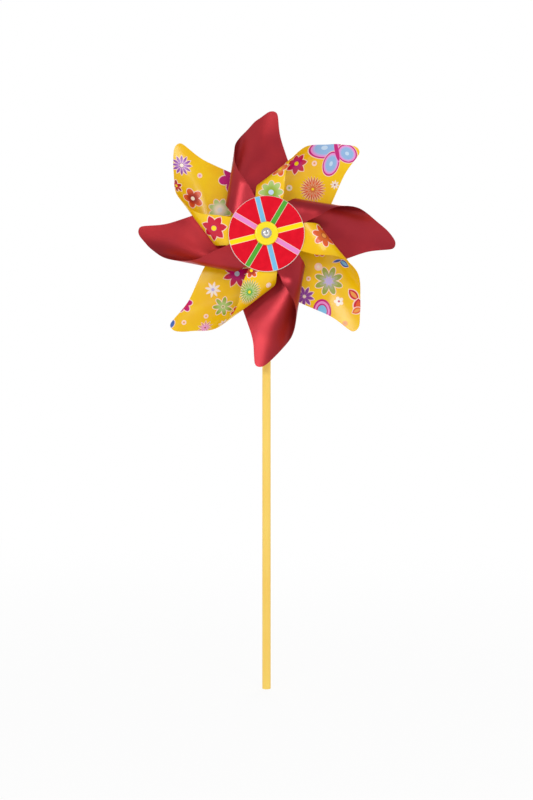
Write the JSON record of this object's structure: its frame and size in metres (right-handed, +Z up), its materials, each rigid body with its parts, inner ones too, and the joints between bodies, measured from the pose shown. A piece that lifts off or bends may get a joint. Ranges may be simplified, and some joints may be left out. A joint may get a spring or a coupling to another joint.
{
  "type": "garden windmill",
  "caption": "Pinwheel of curled film blades round a striped disc, spinning on a steel pin at the top of a straight tubular stick.",
  "frame": {"origin": "centre of the stick's lower end", "axes": "+Z up along the stick; the rotor faces -Y and its axle lies along Y"},
  "size_m": [0.2404, 0.0591, 0.5452],
  "materials": {
    "stick_plastic": "satin extruded plastic tube, warm yellow",
    "white_plastic": "moulded plastic, plain white",
    "yellow_plastic": "moulded plastic, glossy yellow",
    "steel": "bright plated steel",
    "disc_print": "red printed film with eight coloured stripes",
    "red_film": "red metallised film with a satin sheen",
    "printed_film": "glossy yellow film printed with flowers"
  },
  "bodies": {
    "stand": {"stick_tube": "stick_plastic", "stick_head": "white_plastic", "axle_pin": "steel", "rear_cap": "white_plastic", "spacer_bead": "white_plastic", "axle_washer": "steel"},
    "rotor": {"back_stud_plate": "white_plastic", "clamp_ring": "white_plastic", "hub_spool": "white_plastic", "front_disc": "white_plastic", "disc_print": "disc_print", "centre_boss": "yellow_plastic", "blade_red_top": "red_film", "blade_print_top_right": "printed_film", "blade_red_right": "red_film", "blade_print_bottom_right": "printed_film", "blade_red_bottom": "red_film", "blade_print_bottom_left": "printed_film", "blade_red_left": "red_film", "blade_print_top_left": "printed_film"}
  },
  "joints": [
    {"name": "rotor_spin", "type": "hinge", "parent": "stand", "child": "rotor", "pos_m": [0, -0.028, 0.425], "axis": [0, -1, 0], "continuous": true}
  ]
}
